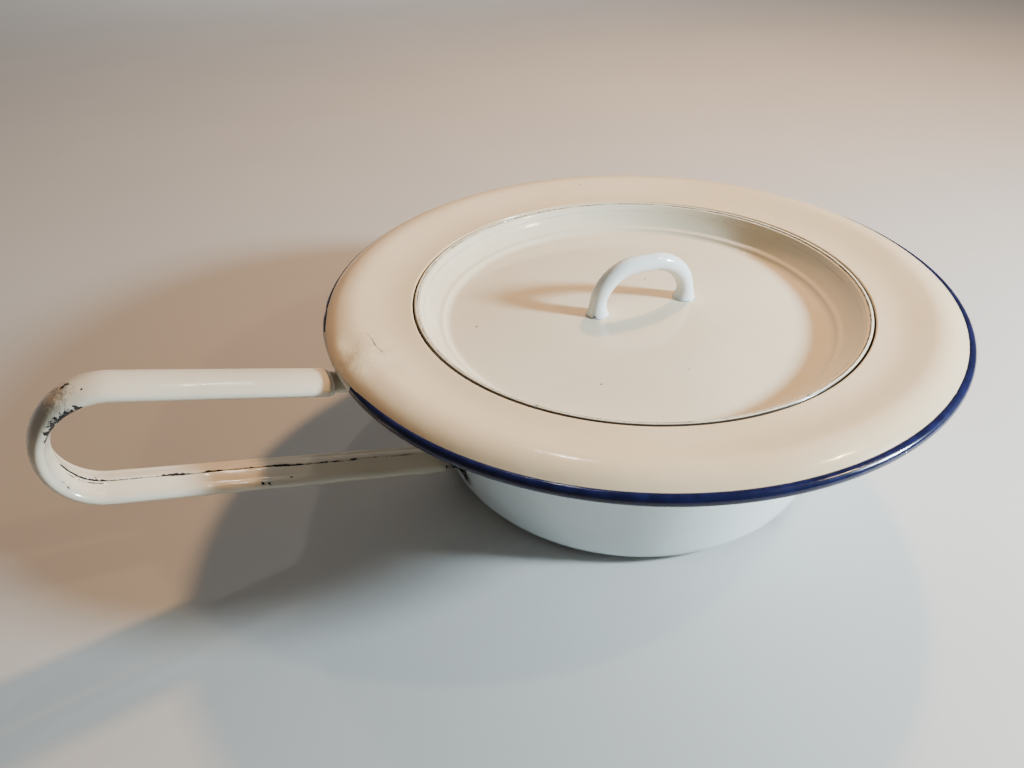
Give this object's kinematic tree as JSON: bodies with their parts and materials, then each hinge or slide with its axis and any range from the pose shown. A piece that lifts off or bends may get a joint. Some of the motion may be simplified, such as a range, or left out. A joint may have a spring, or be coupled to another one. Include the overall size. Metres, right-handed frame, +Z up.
{
  "type": "enamelled bedpan with lid",
  "caption": "Round enamelled steel bedpan with a wide crowned seat, rolled rim, recessed lift-off lid with a rod grip, and a long looped side handle.",
  "frame": {"origin": "centre of the bowl's flat base, on the surface that the pan stands on", "axes": "+Z up through the bowl, the looped handle along -X"},
  "size_m": [0.4553, 0.3274, 0.123],
  "materials": {
    "white_enamel": "glossy white vitreous enamel with small black chips",
    "cream_enamel": "glossy ivory vitreous enamel, faintly stained",
    "blue_enamel": "glossy cobalt blue vitreous enamel",
    "plain_steel": "bare steel wire"
  },
  "bodies": {
    "pan": {"pan_bowl": "white_enamel", "seat_ring": "cream_enamel", "rolled_rim": "blue_enamel", "rim_wire": "plain_steel", "handle_tube": "white_enamel", "handle_upper_stub": "white_enamel", "handle_lower_stub": "white_enamel"},
    "lid": {"lid_dish": "cream_enamel", "lid_grip": "white_enamel"}
  },
  "joints": [
    {"name": "lid_lift", "type": "slide", "parent": "pan", "child": "lid", "axis": [0, 0, 1], "range_m": [0, 0.12]}
  ]
}
